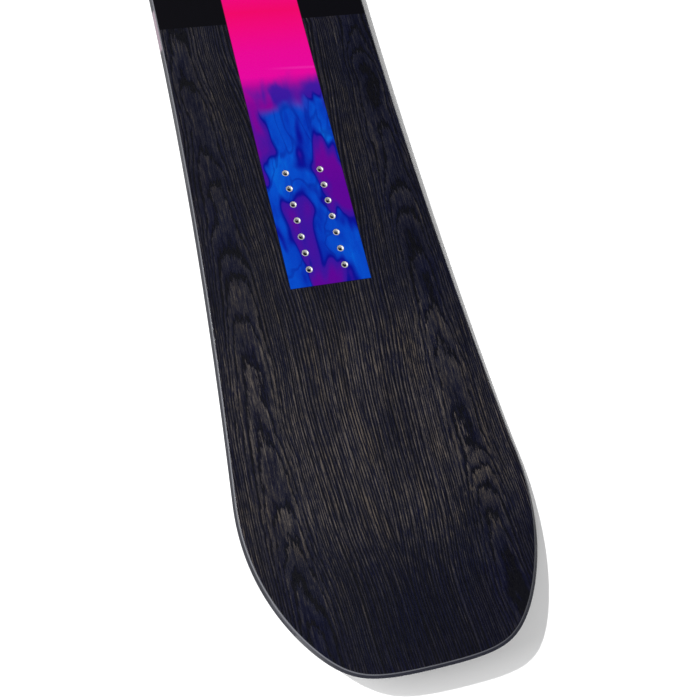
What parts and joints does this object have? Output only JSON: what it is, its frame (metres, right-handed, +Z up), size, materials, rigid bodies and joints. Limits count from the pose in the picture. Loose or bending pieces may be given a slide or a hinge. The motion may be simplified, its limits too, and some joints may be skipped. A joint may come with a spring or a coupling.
{
  "type": "snowboard",
  "caption": "Cambered twin-tip snowboard deck with wood core, steel edges, stained ash top, printed centre strip and two packs of threaded binding inserts.",
  "frame": {"origin": "on the ground plane under the middle of the board, where it rests on its two contact lines", "axes": "+Y along the board towards the nose, +X towards the toe side, +Z up out of the top face"},
  "size_m": [0.306, 1.57, 0.0407],
  "materials": {
    "base_plastic": "sintered running base, stone-ground",
    "edge_steel": "hardened steel edge, fine ground",
    "foil_rubber": "vibration-damping rubber foil",
    "glass_laminate": "glass-fibre and epoxy laminate",
    "mat_fleece": "glass fleece",
    "core_poplar": "poplar core strip, planed",
    "core_beech": "beech core strip, planed",
    "core_paulownia": "paulownia core strip, planed",
    "spacer_plastic": "dark moulded tip spacer",
    "sidewall_plastic": "ABS sidewall, machined and polished",
    "insert_steel": "stainless threaded insert",
    "cap_film": "grey sealing film",
    "stained_veneer": "black-stained ash veneer under clear lacquer",
    "band_lacquer": "smooth near-black lacquered band",
    "printed_strip": "printed strip with ink-wash gradient under clear lacquer"
  },
  "bodies": {
    "root": {"base_sheet": "base_plastic", "steel_edge_toe": "edge_steel", "steel_edge_heel": "edge_steel", "edge_rubber_toe": "foil_rubber", "edge_rubber_heel": "foil_rubber", "lower_glass": "glass_laminate", "insert_mat_tail": "mat_fleece", "insert_mat_nose": "mat_fleece", "core_centre": "core_poplar", "core_insert_toe": "core_beech", "core_insert_heel": "core_beech", "core_inner_toe": "core_poplar", "core_inner_heel": "core_poplar", "core_mid_toe": "core_paulownia", "core_mid_heel": "core_paulownia", "core_outer_toe": "core_poplar", "core_outer_heel": "core_poplar", "nose_spacer": "spacer_plastic", "tail_spacer": "spacer_plastic", "sidewall_toe": "sidewall_plastic", "sidewall_heel": "sidewall_plastic", "inserts_tail": "insert_steel", "inserts_nose": "insert_steel", "insert_caps_tail": "cap_film", "insert_caps_nose": "cap_film", "upper_glass": "glass_laminate", "veneer_tail": "stained_veneer", "veneer_nose": "stained_veneer", "centre_band_toe": "band_lacquer", "centre_band_heel": "band_lacquer", "graphic_strip": "printed_strip"}
  },
  "joints": []
}
